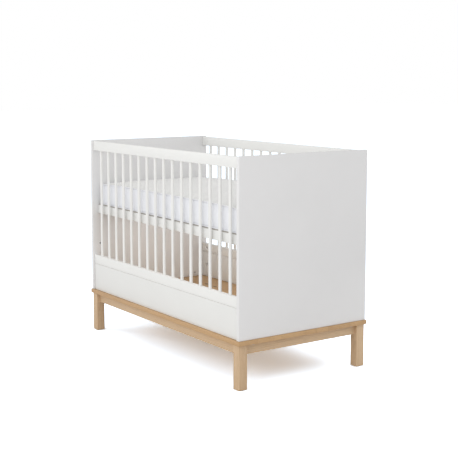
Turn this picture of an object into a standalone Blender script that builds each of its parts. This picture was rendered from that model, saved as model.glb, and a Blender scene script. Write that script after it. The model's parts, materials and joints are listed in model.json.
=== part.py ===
"""Baby cot for a 1200 x 600 mm mattress: two solid ends, two slatted sides, a wooden plinth on
four legs, and a mattress base that is fixed at one of three heights.

Metres, +Z up. The origin is on the floor under the middle of the cot. +X runs along the
length to the right-hand end panel, and +Y runs from the front slatted side to the back one.
"""

import math

import bmesh
import bpy
from mathutils import Matrix, Vector

# Clearance between pieces that touch.
GAP = 0.0003

# Room inside the cot, and its outer envelope.
INNER_LENGTH = 1.204
INNER_WIDTH = 0.605
END_DEPTH = 0.655
TOP = 0.923
PLINTH_TOP = 0.200
BOARD_THICKNESS = 0.018
EDGE_ROUNDING = 0.002

# Slatted sides: rails and fascias are flush with each other and set back from the ends.
TOP_RAIL_TOP = 0.920
TOP_RAIL_HEIGHT = 0.045
BOTTOM_RAIL_TOP = 0.371
BOTTOM_RAIL_HEIGHT = 0.043
SLAT_COUNT = 16
SLAT_WIDTH = 0.016
SLAT_THICKNESS = 0.008
SLAT_CHAMFER = 0.0015
MORTISE_DEPTH = 0.010

# Cam locks that pull the rails against the ends.
CAM_RADIUS = 0.0075
CAM_DEPTH = 0.0125
CAM_SETBACK = 0.040

# Plinth.
PLINTH_OVERHANG_X = 0.005
PLINTH_OVERHANG_Y = 0.004
LEG_SIDE = 0.040
LEG_INSET = 0.003
APRON_HEIGHT = 0.042
APRON_SETBACK = 0.015
TENON_SHOULDER = 0.005
TENON_LENGTH = 0.010
BARREL_NUT_RADIUS = 0.005
BARREL_NUT_HEIGHT = 0.019
BARREL_NUT_Y = 0.254

# Mattress base at the highest of its three levels.
LEVEL_HEIGHTS = (0.591, 0.4235, 0.256)
BASE_RAIL_HEIGHT = 0.040
BASE_SIDE_CLEARANCE = 0.003
BASE_END_CLEARANCE = 0.0015
BASE_BOARD_THICKNESS = 0.004
BASE_BOARD_INSET = 0.004
BASE_CENTRE_RAIL_WIDTH = 0.030
STUD_RADIUS = 0.003
STUD_BORE_RADIUS = 0.004
LEVEL_HOLE_DEPTH = 0.012
SLOT_ROWS = 3
SLOT_COLUMNS = 10
SLOT_WIDTH = 0.020
SLOT_LENGTH = 0.120

# Mattress.
MATTRESS_LENGTH = 1.198
MATTRESS_WIDTH = 0.598
MATTRESS_THICKNESS = 0.112
MATTRESS_ROUNDING = 0.012

# Places that follow from the sizes above.
HALF_LENGTH = INNER_LENGTH / 2
END_OUTER_X = HALF_LENGTH + BOARD_THICKNESS
HALF_DEPTH = END_DEPTH / 2
SIDE_INNER_Y = INNER_WIDTH / 2
SIDE_CENTRE_Y = SIDE_INNER_Y + BOARD_THICKNESS / 2
PLINTH_UNDERSIDE = PLINTH_TOP - BOARD_THICKNESS
LEG_TOP = PLINTH_UNDERSIDE - GAP
BASE_LEVEL = LEVEL_HEIGHTS[0]
BASE_SIDE_OUTER_Y = SIDE_INNER_Y - BASE_SIDE_CLEARANCE
BASE_SIDE_CENTRE_Y = BASE_SIDE_OUTER_Y - BOARD_THICKNESS / 2
BASE_HALF_LENGTH = HALF_LENGTH - BASE_END_CLEARANCE
BASE_RAIL_TOP = BASE_LEVEL + BASE_RAIL_HEIGHT / 2
BASE_RAIL_UNDERSIDE = BASE_LEVEL - BASE_RAIL_HEIGHT / 2
BASE_BOARD_TOP = BASE_RAIL_TOP + GAP + BASE_BOARD_THICKNESS

LEFT, RIGHT = -1, 1
FRONT, BACK = -1, 1
END_NAMES = {LEFT: "left", RIGHT: "right"}
SIDE_NAMES = {FRONT: "front", BACK: "back"}


def clear_scene():
    for obj in list(bpy.data.objects):
        bpy.data.objects.remove(obj, do_unlink=True)


def make_material(name, colour, roughness, metallic=0.0):
    material = bpy.data.materials.new(name)
    material.use_nodes = True
    shader = material.node_tree.nodes["Principled BSDF"]
    shader.inputs["Base Color"].default_value = (*colour, 1.0)
    shader.inputs["Roughness"].default_value = roughness
    shader.inputs["Metallic"].default_value = metallic
    material.diffuse_color = (*colour, 1.0)
    return material


def add_object(name, bm, material=None, parent=None):
    """An object whose mesh is centred on its own origin, placed where the mesh was drawn."""
    points = [vert.co for vert in bm.verts]
    low = Vector(min(point[axis] for point in points) for axis in range(3))
    high = Vector(max(point[axis] for point in points) for axis in range(3))
    centre = (low + high) / 2
    bmesh.ops.translate(bm, verts=bm.verts, vec=-centre)
    mesh = bpy.data.meshes.new(name)
    bm.to_mesh(mesh)
    bm.free()
    obj = bpy.data.objects.new(name, mesh)
    bpy.context.scene.collection.objects.link(obj)
    if material:
        mesh.materials.append(material)
    obj.location = centre
    if parent:
        obj.parent = parent
        obj.location = centre - parent.location
    return obj


def add_block(bm, corner, opposite):
    """A rectangular block between two opposite corners."""
    low = [min(pair) for pair in zip(corner, opposite)]
    high = [max(pair) for pair in zip(corner, opposite)]
    for vert in bmesh.ops.create_cube(bm, size=1.0)["verts"]:
        vert.co = [low[axis] if vert.co[axis] < 0 else high[axis] for axis in range(3)]


def add_prism(bm, outline, start, end, axis="Z"):
    """A straight prism of an anticlockwise outline, running from start to end along one axis."""
    turn = {
        "X": Matrix(((0, 0, 1), (1, 0, 0), (0, 1, 0))),
        "Y": Matrix(((0, 1, 0), (0, 0, 1), (1, 0, 0))),
        "Z": Matrix.Identity(3),
    }[axis]
    low_end, high_end = sorted((start, end))
    lower = [bm.verts.new(turn @ Vector((x, y, low_end))) for x, y in outline]
    upper = [bm.verts.new(turn @ Vector((x, y, high_end))) for x, y in outline]
    bm.faces.new(reversed(lower))
    bm.faces.new(upper)
    for index in range(len(outline)):
        bm.faces.new((lower[index - 1], lower[index], upper[index], upper[index - 1]))


def circle(centre, radius, sides=16):
    turns = [2 * math.pi * (step + 0.5) / sides for step in range(sides)]
    return [(centre[0] + radius * math.cos(turn), centre[1] + radius * math.sin(turn)) for turn in turns]


def chamfered_rectangle(centre, width, depth, chamfer):
    """The eight corners of a rectangle whose corners are cut off."""
    half_x = width / 2
    half_y = depth / 2
    corners = []
    for x_sign, y_sign in ((1, 1), (-1, 1), (-1, -1), (1, -1)):
        near_side = (centre[0] + x_sign * half_x, centre[1] + y_sign * (half_y - chamfer))
        near_end = (centre[0] + x_sign * (half_x - chamfer), centre[1] + y_sign * half_y)
        corners += [near_side, near_end] if x_sign == y_sign else [near_end, near_side]
    return corners


def rounded_slot(centre, width, length, arc_steps=4):
    """The outline of a slot with round ends, its length along Y."""
    radius = width / 2
    reach = length / 2 - radius
    outline = []
    for end, first_turn in ((1, 0.0), (-1, math.pi)):
        for step in range(arc_steps + 1):
            turn = first_turn + math.pi * step / arc_steps
            x = centre[0] + radius * math.cos(turn)
            y = centre[1] + end * reach + radius * math.sin(turn)
            outline.append((x, y))
    return outline


def round_edges(obj, width=EDGE_ROUNDING, segments=2):
    bevel = obj.modifiers.new("rounded_edges", "BEVEL")
    bevel.width = width
    bevel.segments = segments
    bevel.limit_method = "ANGLE"
    bevel.angle_limit = math.radians(40)


def cut(obj, bm, name):
    """Removes the shapes in bm from obj with a Boolean."""
    cutter = add_object(f"{name}_cutter", bm)
    cutter.hide_render = True
    cutter.display_type = "WIRE"
    boolean = obj.modifiers.new(name, "BOOLEAN")
    boolean.operation = "DIFFERENCE"
    boolean.solver = "EXACT"
    boolean.object = cutter


def shade_round(obj):
    obj.data.shade_smooth()
    obj.data.set_sharp_from_angle(angle=math.radians(40))


def slat_places():
    """The X of each slat's centre, with equal gaps between slats and ends."""
    gap = (INNER_LENGTH - SLAT_COUNT * SLAT_WIDTH) / (SLAT_COUNT + 1)
    first = -HALF_LENGTH + gap + SLAT_WIDTH / 2
    return [first + index * (gap + SLAT_WIDTH) for index in range(SLAT_COUNT)]


def make_end_panel(end, paint):
    """A solid end, with blind holes for the base's studs and for the barrel nuts to the plinth."""
    bm = bmesh.new()
    inner = end * HALF_LENGTH
    outer = end * END_OUTER_X
    add_block(bm, (inner, -HALF_DEPTH, PLINTH_TOP + GAP), (outer, HALF_DEPTH, TOP))
    panel = add_object(f"end_panel_{END_NAMES[end]}", bm, paint)
    round_edges(panel)
    holes = bmesh.new()
    bottom = end * (HALF_LENGTH + LEVEL_HOLE_DEPTH)
    mouth = end * (HALF_LENGTH - LEVEL_HOLE_DEPTH)
    for side in (FRONT, BACK):
        for height in LEVEL_HEIGHTS:
            centre = (side * BASE_SIDE_CENTRE_Y, height)
            add_prism(holes, circle(centre, STUD_BORE_RADIUS), mouth, bottom, "X")
        centre = (side * BARREL_NUT_Y, PLINTH_TOP + BARREL_NUT_HEIGHT)
        add_prism(holes, circle(centre, BARREL_NUT_RADIUS), mouth, bottom, "X")
    cut(panel, holes, f"end_panel_holes_{END_NAMES[end]}")


def make_side_board(side, name, low_z, high_z, paint):
    """A rail or fascia between the ends, with a cam housing in its inner face at both ends."""
    bm = bmesh.new()
    reach = HALF_LENGTH - GAP
    inner_y = side * SIDE_INNER_Y
    outer_y = side * (SIDE_INNER_Y + BOARD_THICKNESS)
    add_block(bm, (-reach, inner_y, low_z), (reach, outer_y, high_z))
    board = add_object(f"{SIDE_NAMES[side]}_{name}", bm, paint)
    round_edges(board)
    housings = bmesh.new()
    for end in (LEFT, RIGHT):
        centre = ((low_z + high_z) / 2, end * (HALF_LENGTH - CAM_SETBACK))
        mouth = side * (SIDE_INNER_Y - CAM_DEPTH)
        bottom = side * (SIDE_INNER_Y + CAM_DEPTH)
        add_prism(housings, circle(centre, CAM_RADIUS), mouth, bottom, "Y")
    cut(board, housings, f"{board.name}_cams")
    return board


def cut_mortises(rail, side, low_z, high_z):
    """Sockets for the slats' ends between two heights."""
    sockets = bmesh.new()
    for x in slat_places():
        width = SLAT_WIDTH + 2 * GAP
        depth = SLAT_THICKNESS + 2 * GAP
        outline = chamfered_rectangle((x, side * SIDE_CENTRE_Y), width, depth, SLAT_CHAMFER)
        add_prism(sockets, outline, low_z, high_z)
    cut(rail, sockets, f"{rail.name}_mortises")


def make_slats(side, paint):
    """Slats that run from socket to socket, all sharing one mesh."""
    low_z = BOTTOM_RAIL_TOP - MORTISE_DEPTH + GAP
    high_z = TOP_RAIL_TOP - TOP_RAIL_HEIGHT + MORTISE_DEPTH - GAP
    bm = bmesh.new()
    add_prism(bm, chamfered_rectangle((0, 0), SLAT_WIDTH, SLAT_THICKNESS, SLAT_CHAMFER), low_z, high_z)
    pattern = add_object(f"{SIDE_NAMES[side]}_slat_01", bm, paint)
    for number, x in enumerate(slat_places(), start=1):
        slat = pattern
        if number > 1:
            slat = bpy.data.objects.new(f"{SIDE_NAMES[side]}_slat_{number:02d}", pattern.data)
            bpy.context.scene.collection.objects.link(slat)
        slat.location = (x, side * SIDE_CENTRE_Y, (low_z + high_z) / 2)


def make_slatted_side(side, paint):
    top_rail_low = TOP_RAIL_TOP - TOP_RAIL_HEIGHT
    bottom_rail_low = BOTTOM_RAIL_TOP - BOTTOM_RAIL_HEIGHT
    top_rail = make_side_board(side, "top_rail", top_rail_low, TOP_RAIL_TOP, paint)
    cut_mortises(top_rail, side, top_rail_low - MORTISE_DEPTH, top_rail_low + MORTISE_DEPTH)
    bottom_rail = make_side_board(side, "bottom_rail", bottom_rail_low, BOTTOM_RAIL_TOP, paint)
    cut_mortises(bottom_rail, side, BOTTOM_RAIL_TOP - MORTISE_DEPTH, BOTTOM_RAIL_TOP + MORTISE_DEPTH)
    make_side_board(side, "fascia", PLINTH_TOP + GAP, bottom_rail_low - 2 * GAP, paint)
    make_slats(side, paint)


def make_plinth_board(wood):
    bm = bmesh.new()
    half_x = END_OUTER_X + PLINTH_OVERHANG_X
    half_y = HALF_DEPTH + PLINTH_OVERHANG_Y
    add_block(bm, (-half_x, -half_y, PLINTH_UNDERSIDE), (half_x, half_y, PLINTH_TOP))
    round_edges(add_object("plinth_board", bm, wood))


def leg_centre(end, side):
    x = end * (END_OUTER_X - LEG_INSET - LEG_SIDE / 2)
    y = side * (HALF_DEPTH - LEG_INSET - LEG_SIDE / 2)
    return x, y


def apron_centre_offset():
    """How far outside the leg's centre line the centre of an apron's thickness lies."""
    return LEG_SIDE / 2 - APRON_SETBACK - BOARD_THICKNESS / 2


def make_leg(end, side, wood):
    """A square leg with a mortise for each of the two aprons that meet in it."""
    bm = bmesh.new()
    x, y = leg_centre(end, side)
    half = LEG_SIDE / 2
    add_block(bm, (x - half, y - half, 0), (x + half, y + half, LEG_TOP))
    leg = add_object(f"leg_{SIDE_NAMES[side]}_{END_NAMES[end]}", bm, wood)
    round_edges(leg)
    sockets = bmesh.new()
    half_tenon = BOARD_THICKNESS / 2 - TENON_SHOULDER + GAP
    low_z = LEG_TOP - APRON_HEIGHT + TENON_SHOULDER - GAP
    high_z = LEG_TOP - TENON_SHOULDER + GAP
    depth = TENON_LENGTH + GAP
    y_centre = y + side * apron_centre_offset()
    x_face = x - end * half
    add_block(
        sockets,
        (x_face - end * depth, y_centre - half_tenon, low_z),
        (x_face + end * depth, y_centre + half_tenon, high_z),
    )
    x_centre = x + end * apron_centre_offset()
    y_face = y - side * half
    add_block(
        sockets,
        (x_centre - half_tenon, y_face - side * depth, low_z),
        (x_centre + half_tenon, y_face + side * depth, high_z),
    )
    cut(leg, sockets, f"{leg.name}_mortises")


def add_tenons(bm, axis):
    """Insets both end faces of a block along one axis and draws them out into tenons."""
    bm.normal_update()
    for face in [face for face in bm.faces if abs(face.normal[axis]) > 0.9]:
        outward = face.normal.copy()
        bmesh.ops.inset_region(bm, faces=[face], thickness=TENON_SHOULDER, use_even_offset=True)
        made = bmesh.ops.extrude_face_region(bm, geom=[face])
        drawn = [item for item in made["geom"] if isinstance(item, bmesh.types.BMVert)]
        bmesh.ops.translate(bm, verts=drawn, vec=outward * TENON_LENGTH)
        bmesh.ops.delete(bm, geom=[face], context="FACES_ONLY")


def make_aprons(wood):
    """Four aprons under the plinth board, each tenoned into two legs."""
    x, y = leg_centre(RIGHT, BACK)
    half = BOARD_THICKNESS / 2
    low_z = LEG_TOP - APRON_HEIGHT
    for side in (FRONT, BACK):
        reach = x - LEG_SIDE / 2 - GAP
        centre = side * (y + apron_centre_offset())
        bm = bmesh.new()
        add_block(bm, (-reach, centre - half, low_z), (reach, centre + half, LEG_TOP))
        add_tenons(bm, 0)
        add_object(f"apron_{SIDE_NAMES[side]}", bm, wood)
    for end in (LEFT, RIGHT):
        reach = y - LEG_SIDE / 2 - GAP
        centre = end * (x + apron_centre_offset())
        bm = bmesh.new()
        add_block(bm, (centre - half, -reach, low_z), (centre + half, reach, LEG_TOP))
        add_tenons(bm, 1)
        add_object(f"apron_{END_NAMES[end]}", bm, wood)


def make_base_side_rail(side, paint, lift):
    """A long rail of the mattress base, with a stud bore and a cam housing at each end."""
    bm = bmesh.new()
    half = BOARD_THICKNESS / 2
    centre = side * BASE_SIDE_CENTRE_Y
    low = (-BASE_HALF_LENGTH, centre - half, BASE_RAIL_UNDERSIDE)
    high = (BASE_HALF_LENGTH, centre + half, BASE_RAIL_TOP)
    add_block(bm, low, high)
    rail = add_object(f"base_side_rail_{SIDE_NAMES[side]}", bm, paint, lift)
    round_edges(rail)
    bores = bmesh.new()
    housings = bmesh.new()
    for end in (LEFT, RIGHT):
        cam_x = end * (BASE_HALF_LENGTH - CAM_SETBACK)
        beyond = end * (BASE_HALF_LENGTH + CAM_RADIUS)
        add_prism(bores, circle((centre, BASE_LEVEL), STUD_BORE_RADIUS), cam_x, beyond, "X")
        mouth = centre - side * (half + CAM_DEPTH)
        bottom = centre - side * (half - CAM_DEPTH)
        add_prism(housings, circle((BASE_LEVEL, cam_x), CAM_RADIUS), mouth, bottom, "Y")
    cut(rail, bores, f"{rail.name}_bores")
    cut(rail, housings, f"{rail.name}_cams")


def make_base_cross_rails(paint, lift):
    """The two end rails and the centre rail, fitted between the long rails."""
    reach = BASE_SIDE_CENTRE_Y - BOARD_THICKNESS / 2 - GAP
    half_centre = BASE_CENTRE_RAIL_WIDTH / 2
    spans = {
        "base_end_rail_left": (-BASE_HALF_LENGTH, -BASE_HALF_LENGTH + BOARD_THICKNESS),
        "base_centre_rail": (-half_centre, half_centre),
        "base_end_rail_right": (BASE_HALF_LENGTH - BOARD_THICKNESS, BASE_HALF_LENGTH),
    }
    for name, (low_x, high_x) in spans.items():
        bm = bmesh.new()
        add_block(bm, (low_x, -reach, BASE_RAIL_UNDERSIDE), (high_x, reach, BASE_RAIL_TOP))
        round_edges(add_object(name, bm, paint, lift))


def make_base_board(paint, lift):
    """The thin board that the mattress lies on, with ventilation slots in rows."""
    bm = bmesh.new()
    half_x = BASE_HALF_LENGTH - BASE_BOARD_INSET
    half_y = BASE_SIDE_OUTER_Y - BASE_BOARD_INSET
    low_z = BASE_RAIL_TOP + GAP
    add_block(bm, (-half_x, -half_y, low_z), (half_x, half_y, BASE_BOARD_TOP))
    board = add_object("base_board", bm, paint, lift)
    slots = bmesh.new()
    column_pitch = 2 * half_x / SLOT_COLUMNS
    row_pitch = 2 * half_y / SLOT_ROWS
    for column in range(SLOT_COLUMNS):
        for row in range(SLOT_ROWS):
            x = (column - (SLOT_COLUMNS - 1) / 2) * column_pitch
            y = (row - (SLOT_ROWS - 1) / 2) * row_pitch
            outline = rounded_slot((x, y), SLOT_WIDTH, SLOT_LENGTH)
            add_prism(slots, outline, low_z - BASE_BOARD_THICKNESS, BASE_BOARD_TOP + BASE_BOARD_THICKNESS)
    cut(board, slots, "base_board_slots")


def make_base_studs(steel, lift):
    """Four steel studs that join the base to the ends; they stop flush with the base's ends."""
    for end in (LEFT, RIGHT):
        for side in (FRONT, BACK):
            bm = bmesh.new()
            inner = end * (BASE_HALF_LENGTH - CAM_SETBACK + GAP)
            outer = end * BASE_HALF_LENGTH
            add_prism(bm, circle((side * BASE_SIDE_CENTRE_Y, BASE_LEVEL), STUD_RADIUS, 12), inner, outer, "X")
            shade_round(add_object(f"base_stud_{SIDE_NAMES[side]}_{END_NAMES[end]}", bm, steel, lift))


def make_mattress_base(paint, steel):
    """Everything that changes height together, under one empty on the lift's axis."""
    lift = bpy.data.objects.new("mattress_base_lift", None)
    bpy.context.scene.collection.objects.link(lift)
    lift.location = (0, 0, BASE_LEVEL)
    for side in (FRONT, BACK):
        make_base_side_rail(side, paint, lift)
    make_base_cross_rails(paint, lift)
    make_base_board(paint, lift)
    make_base_studs(steel, lift)
    return lift


def make_mattress(fabric, lift):
    bm = bmesh.new()
    half_x = MATTRESS_LENGTH / 2
    half_y = MATTRESS_WIDTH / 2
    low_z = BASE_BOARD_TOP + GAP
    add_block(bm, (-half_x, -half_y, low_z), (half_x, half_y, low_z + MATTRESS_THICKNESS))
    mattress = add_object("mattress", bm, fabric, lift)
    round_edges(mattress, MATTRESS_ROUNDING, 3)


def main():
    clear_scene()
    paint = make_material("white_paint", (0.80, 0.80, 0.78), 0.38)
    wood = make_material("oiled_oak", (0.56, 0.38, 0.21), 0.5)
    steel = make_material("zinc_plated_steel", (0.62, 0.62, 0.63), 0.32, 1.0)
    fabric = make_material("mattress_cover", (0.84, 0.85, 0.87), 0.9)
    for end in (LEFT, RIGHT):
        make_end_panel(end, paint)
    for side in (FRONT, BACK):
        make_slatted_side(side, paint)
    make_plinth_board(wood)
    for end in (LEFT, RIGHT):
        for side in (FRONT, BACK):
            make_leg(end, side, wood)
    make_aprons(wood)
    lift = make_mattress_base(paint, steel)
    make_mattress(fabric, lift)


main()
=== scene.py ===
"""A baby crib with solid white ends, slatted sides, an oak plinth and a quilted mattress.

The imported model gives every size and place. The boards, slats, fixings and mattress are modelled
here around it, each riding on the body that carries it.
"""

import json
import math

import bpy
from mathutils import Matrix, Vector

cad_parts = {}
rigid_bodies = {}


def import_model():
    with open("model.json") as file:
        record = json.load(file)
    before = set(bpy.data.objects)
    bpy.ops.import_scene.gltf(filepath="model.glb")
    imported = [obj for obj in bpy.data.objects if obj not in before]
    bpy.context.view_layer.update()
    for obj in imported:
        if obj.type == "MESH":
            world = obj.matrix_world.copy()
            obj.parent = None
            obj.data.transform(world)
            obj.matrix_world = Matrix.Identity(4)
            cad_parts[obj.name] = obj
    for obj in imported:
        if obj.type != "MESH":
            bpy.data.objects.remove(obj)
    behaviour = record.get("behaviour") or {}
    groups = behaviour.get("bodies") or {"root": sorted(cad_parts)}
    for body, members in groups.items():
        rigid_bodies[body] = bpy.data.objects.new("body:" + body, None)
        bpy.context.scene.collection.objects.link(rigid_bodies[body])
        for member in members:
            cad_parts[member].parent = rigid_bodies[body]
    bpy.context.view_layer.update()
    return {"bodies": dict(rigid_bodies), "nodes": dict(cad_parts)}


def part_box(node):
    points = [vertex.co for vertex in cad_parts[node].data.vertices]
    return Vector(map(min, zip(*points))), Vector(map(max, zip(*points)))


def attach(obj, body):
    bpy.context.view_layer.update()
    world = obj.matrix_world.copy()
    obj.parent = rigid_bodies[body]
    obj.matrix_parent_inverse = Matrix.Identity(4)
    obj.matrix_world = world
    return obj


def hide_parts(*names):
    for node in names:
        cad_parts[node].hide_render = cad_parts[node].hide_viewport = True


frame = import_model()

FRAME_BODY = "crib_frame"
BASE_BODY = "mattress_base"
MATTRESS_BODY = "mattress"
SIDES = ("front", "back")
ENDS = ("left", "right")
SLATS_PER_SIDE = 16

QUARTER_TURN = math.pi / 2
HALF_TURN = math.pi

# Two coordinates closer than this are taken as equal.
NEAR = 1e-5

# How far one piece is let into another, and how far a cutter stands out of the surface it cuts.
LET_IN = 0.001
CUTTER_STAND_OUT = 0.001

# Rounding of the edges of each kind of board.
PANEL_ROUNDING = 0.0022
RAIL_ROUNDING = 0.0020
SLAT_ROUNDING = 0.0022
OAK_ROUNDING = 0.0016
APRON_ROUNDING = 0.0012
ROUNDING_STEPS = 3

# Cams in their housings, with a cross slot, and the caps over the top ones.
CAM_RADIUS = 0.0075
CAM_SETBACK = 0.040
CAM_SLACK = 0.0004
CAM_RECESS = 0.0092
CAM_HOUSING = 0.0125
CAM_SLOT_DEPTH = 0.0012
CAM_SLOT_HALF_LENGTH = 0.0045
CAM_SLOT_HALF_WIDTH = 0.0008
CAP_RADIUS = 0.0085
CAP_THICKNESS = 0.0008
CAP_RIM = 0.0006
CAP_PLUG = 0.002

# Holes for the base's studs, three levels high, with their sleeves.
HOLE_DEPTH = 0.010
LEVEL_HOLE_RADIUS = 0.004
LEVEL_SPACING = 0.1675
LEVEL_COUNT = 3
SLEEVE_SLACK = 0.0001
SLEEVE_COLLAR = 0.0004
SLEEVE_LENGTH = 0.008
SLEEVE_WALL = 0.0009
SLEEVE_BORE = 0.007

# Barrel nuts in the ends, and the bolts that come up to them through the plinth board.
NUT_RADIUS = 0.005
NUT_HEIGHT = 0.019
NUT_SLACK = 0.0003
NUT_RECESS = 0.0012
NUT_END = 0.0095
NUT_Y = 0.254
NUT_SLOT_REACH = (0.001, 0.0006, 0.006)
BOLT_HEAD_RADIUS = 0.0065
BOLT_HEAD_HEIGHT = 0.0035
BOLT_LET_IN = 0.0005
BOLT_RIM = 0.0006
SOCKET_RADIUS = 0.0023
SOCKET_DEPTH = 0.0022

# Glides under the legs.
GLIDE_RADIUS = 0.017
GLIDE_THICKNESS = 0.0015
GLIDE_RIM = 0.0007

# Mattress. The pad starts smaller than its space by the inset, and then swells.
PAD_INSET = 0.006
PAD_CORNER = 0.026
PAD_SHOULDER = 0.006
PAD_FOOT = 0.003
PAD_RIM_REACH = 0.001
PAD_NET = 0.0085
PAD_SWELL = 0.006
PAD_END_DROP = 0.012
PAD_END_POWER = 6
PAD_FRAMES = 20
PAD_PRESSURE = 4.0
PAD_REST_GAP = 0.0002
PAD_TOP_LEVEL = 0.8
PANEL_FACING = 0.75
PIPING_RADIUS = 0.0028
PIPING_TUCK = 0.4
QUILT_PITCH = 0.085
QUILT_DEPTH = 0.0017
QUILT_WIDTH = 0.0065
CROWN = 0.004

# Studio. The lift is how much whiter than its real tone the camera sees the floor.
FLOOR_SIZE = 60
FLOOR_LIFT = (1.95, 2.22, 2.52)
CAMERA_PLACE = (3.8268, -2.5834, 1.2275)
CAMERA_DIP = 0.1122
CAMERA_HEADING = 0.9675
CAMERA_LENS = 81.16
CAMERA_SHIFT = -0.08
SURROUND_LEVEL = 0.67
AIM_HEIGHT = 0.5
# Each square softbox's name, place, width and watts.
SOFTBOXES = (
    ("front_left_softbox", (-3.4, -3.4, 2.4), 3.0, 43),
    ("front_right_softbox", (2.1, -4.4, 2.2), 2.5, 49),
    ("high_right_softbox", (2.3, -0.6, 3.5), 3.0, 18),
    ("back_right_softbox", (2.6, 4.2, 0.9), 2.5, 14),
)
WASH_PLACE = (0.28, 0.68, 0.45)
WASH_SIZE = (1.2, 0.5)
WASH_WATTS = 1.25
UNDER_BASE_SIZE = (1.1, 0.45)
UNDER_BASE_GAP = 0.006
UNDER_BASE_FILL = 1.6


# ---------------------------------------------------------------- modelling helpers


def deselect_all():
    bpy.ops.object.select_all(action="DESELECT")


def make_active(piece):
    deselect_all()
    piece.select_set(True)
    bpy.context.view_layer.objects.active = piece


def bake_place(piece):
    """Puts the object's place, turn and size into its mesh."""
    make_active(piece)
    bpy.ops.object.transform_apply(location=True, rotation=True, scale=True)


def add_block(name, low, high):
    """A rectangular block between two corners, ready to be shaped."""
    low = Vector(low)
    high = Vector(high)
    deselect_all()
    bpy.ops.mesh.primitive_cube_add(size=1, location=(low + high) / 2)
    piece = bpy.context.object
    piece.name = name
    piece.scale = high - low
    bake_place(piece)
    return piece


def add_rod(name, start, end, radius, sides=32):
    """A straight round rod between two points that differ along one axis."""
    start = Vector(start)
    end = Vector(end)
    run = end - start
    deselect_all()
    bpy.ops.mesh.primitive_cylinder_add(
        vertices=sides,
        radius=radius,
        depth=run.length,
        location=(start + end) / 2,
        rotation=run.to_track_quat("Z", "Y").to_euler(),
    )
    piece = bpy.context.object
    piece.name = name
    bake_place(piece)
    return piece


def select_edges(piece, wanted):
    """Selects the edges whose two end points pass a test, and nothing else."""
    mesh = piece.data
    for face in mesh.polygons:
        face.select = False
    for vert in mesh.vertices:
        vert.select = False
    for edge in mesh.edges:
        ends = [mesh.vertices[index].co for index in edge.vertices]
        edge.select = wanted(*ends)


def select_faces(piece, wanted):
    """Selects the faces that pass a test, and nothing else."""
    mesh = piece.data
    for edge in mesh.edges:
        edge.select = False
    for vert in mesh.vertices:
        vert.select = False
    for face in mesh.polygons:
        face.select = wanted(face)


def round_edges(piece, radius, wanted=None, steps=ROUNDING_STEPS):
    """Rounds a block's edges over in edit mode."""
    make_active(piece)
    select_edges(piece, wanted or (lambda start, end: True))
    bpy.ops.object.mode_set(mode="EDIT")
    bpy.ops.mesh.select_mode(type="EDGE")
    bpy.ops.mesh.bevel(offset=radius, segments=steps, profile=0.5)
    bpy.ops.object.mode_set(mode="OBJECT")


def cut_away(piece, cutters):
    """Cuts holes in a piece with other pieces, which are used up."""
    for cutter in cutters:
        make_active(piece)
        hole = piece.modifiers.new("hole", "BOOLEAN")
        hole.operation = "DIFFERENCE"
        hole.object = cutter
        bpy.ops.object.modifier_apply(modifier=hole.name)
        bpy.data.objects.remove(cutter, do_unlink=True)


def mark_worn_edges(piece, low, high):
    """Marks the rounded edges of a block, which hands and cloths rub, for its material to read."""
    wear = piece.data.attributes.new("worn_edge", "FLOAT", "POINT")
    for vert in piece.data.vertices:
        on_face = any(
            abs(vert.co[axis] - limit[axis]) < NEAR for axis in range(3) for limit in (low, high)
        )
        wear.data[vert.index].value = 0.0 if on_face else 1.0


def smooth(piece, angle=40):
    """Shades a piece smooth, with its corners kept sharp."""
    make_active(piece)
    bpy.ops.object.shade_smooth_by_angle(angle=math.radians(angle))


def copy_piece(model, name, shift=(0, 0, 0), turn=0.0):
    """A copy with its own mesh, turned about the upright axis and then moved."""
    make_active(model)
    bpy.ops.object.duplicate(linked=False)
    piece = bpy.context.object
    piece.name = name
    piece.data.name = name
    piece.location = shift
    piece.rotation_euler.z = turn
    bake_place(piece)
    return piece


def finish_piece(piece, body, slot, material, *nodes):
    """Gives a piece its finish and its body, and hides the CAD nodes that it stands for."""
    piece.data.materials.clear()
    piece.data.materials.append(material)
    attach(piece, body)
    if nodes:
        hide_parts(*nodes)
    return piece


def shape_board(name, node, rounding, cutters=()):
    """A board the size of its CAD node, with rounded edges and any holes, not yet finished."""
    low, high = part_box(node)
    piece = add_block(name, low, high)
    round_edges(piece, rounding)
    cut_away(piece, cutters)
    mark_worn_edges(piece, low, high)
    smooth(piece)
    return piece


def board(prefix, node, body, slot, material, rounding):
    """One finished board in place of its CAD node."""
    piece = shape_board(f"{prefix}_{node}", node, rounding)
    return finish_piece(piece, body, slot, material, node)


def paired_boards(prefix, pair, body, slot, material, rounding, cutters=()):
    """Two matching boards on opposite sides, the second made by turning the first half round."""
    node, twin_node = pair
    piece = shape_board(f"{prefix}_{node}", node, rounding, cutters)
    twin = copy_piece(piece, f"{prefix}_{twin_node}", turn=HALF_TURN)
    finish_piece(piece, body, slot, material, node)
    finish_piece(twin, body, slot, material, twin_node)


def copy_to_nodes(model, nodes, prefix, slot, material):
    """Copies a piece modelled at the first node to every node, and then takes the model away."""
    first_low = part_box(nodes[0])[0]
    for node in nodes:
        piece = copy_piece(model, f"{prefix}_{node}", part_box(node)[0] - first_low)
        finish_piece(piece, FRAME_BODY, slot, material, node)
    bpy.data.objects.remove(model, do_unlink=True)


def set_out(model, placings, slot, material):
    """Puts a copy of a modelled fixing at each named place, and then takes the model away."""
    for name, body, place, turn in placings:
        finish_piece(copy_piece(model, name, place, turn), body, slot, material)
    bpy.data.objects.remove(model, do_unlink=True)


# ---------------------------------------------------------------- material helpers


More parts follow.
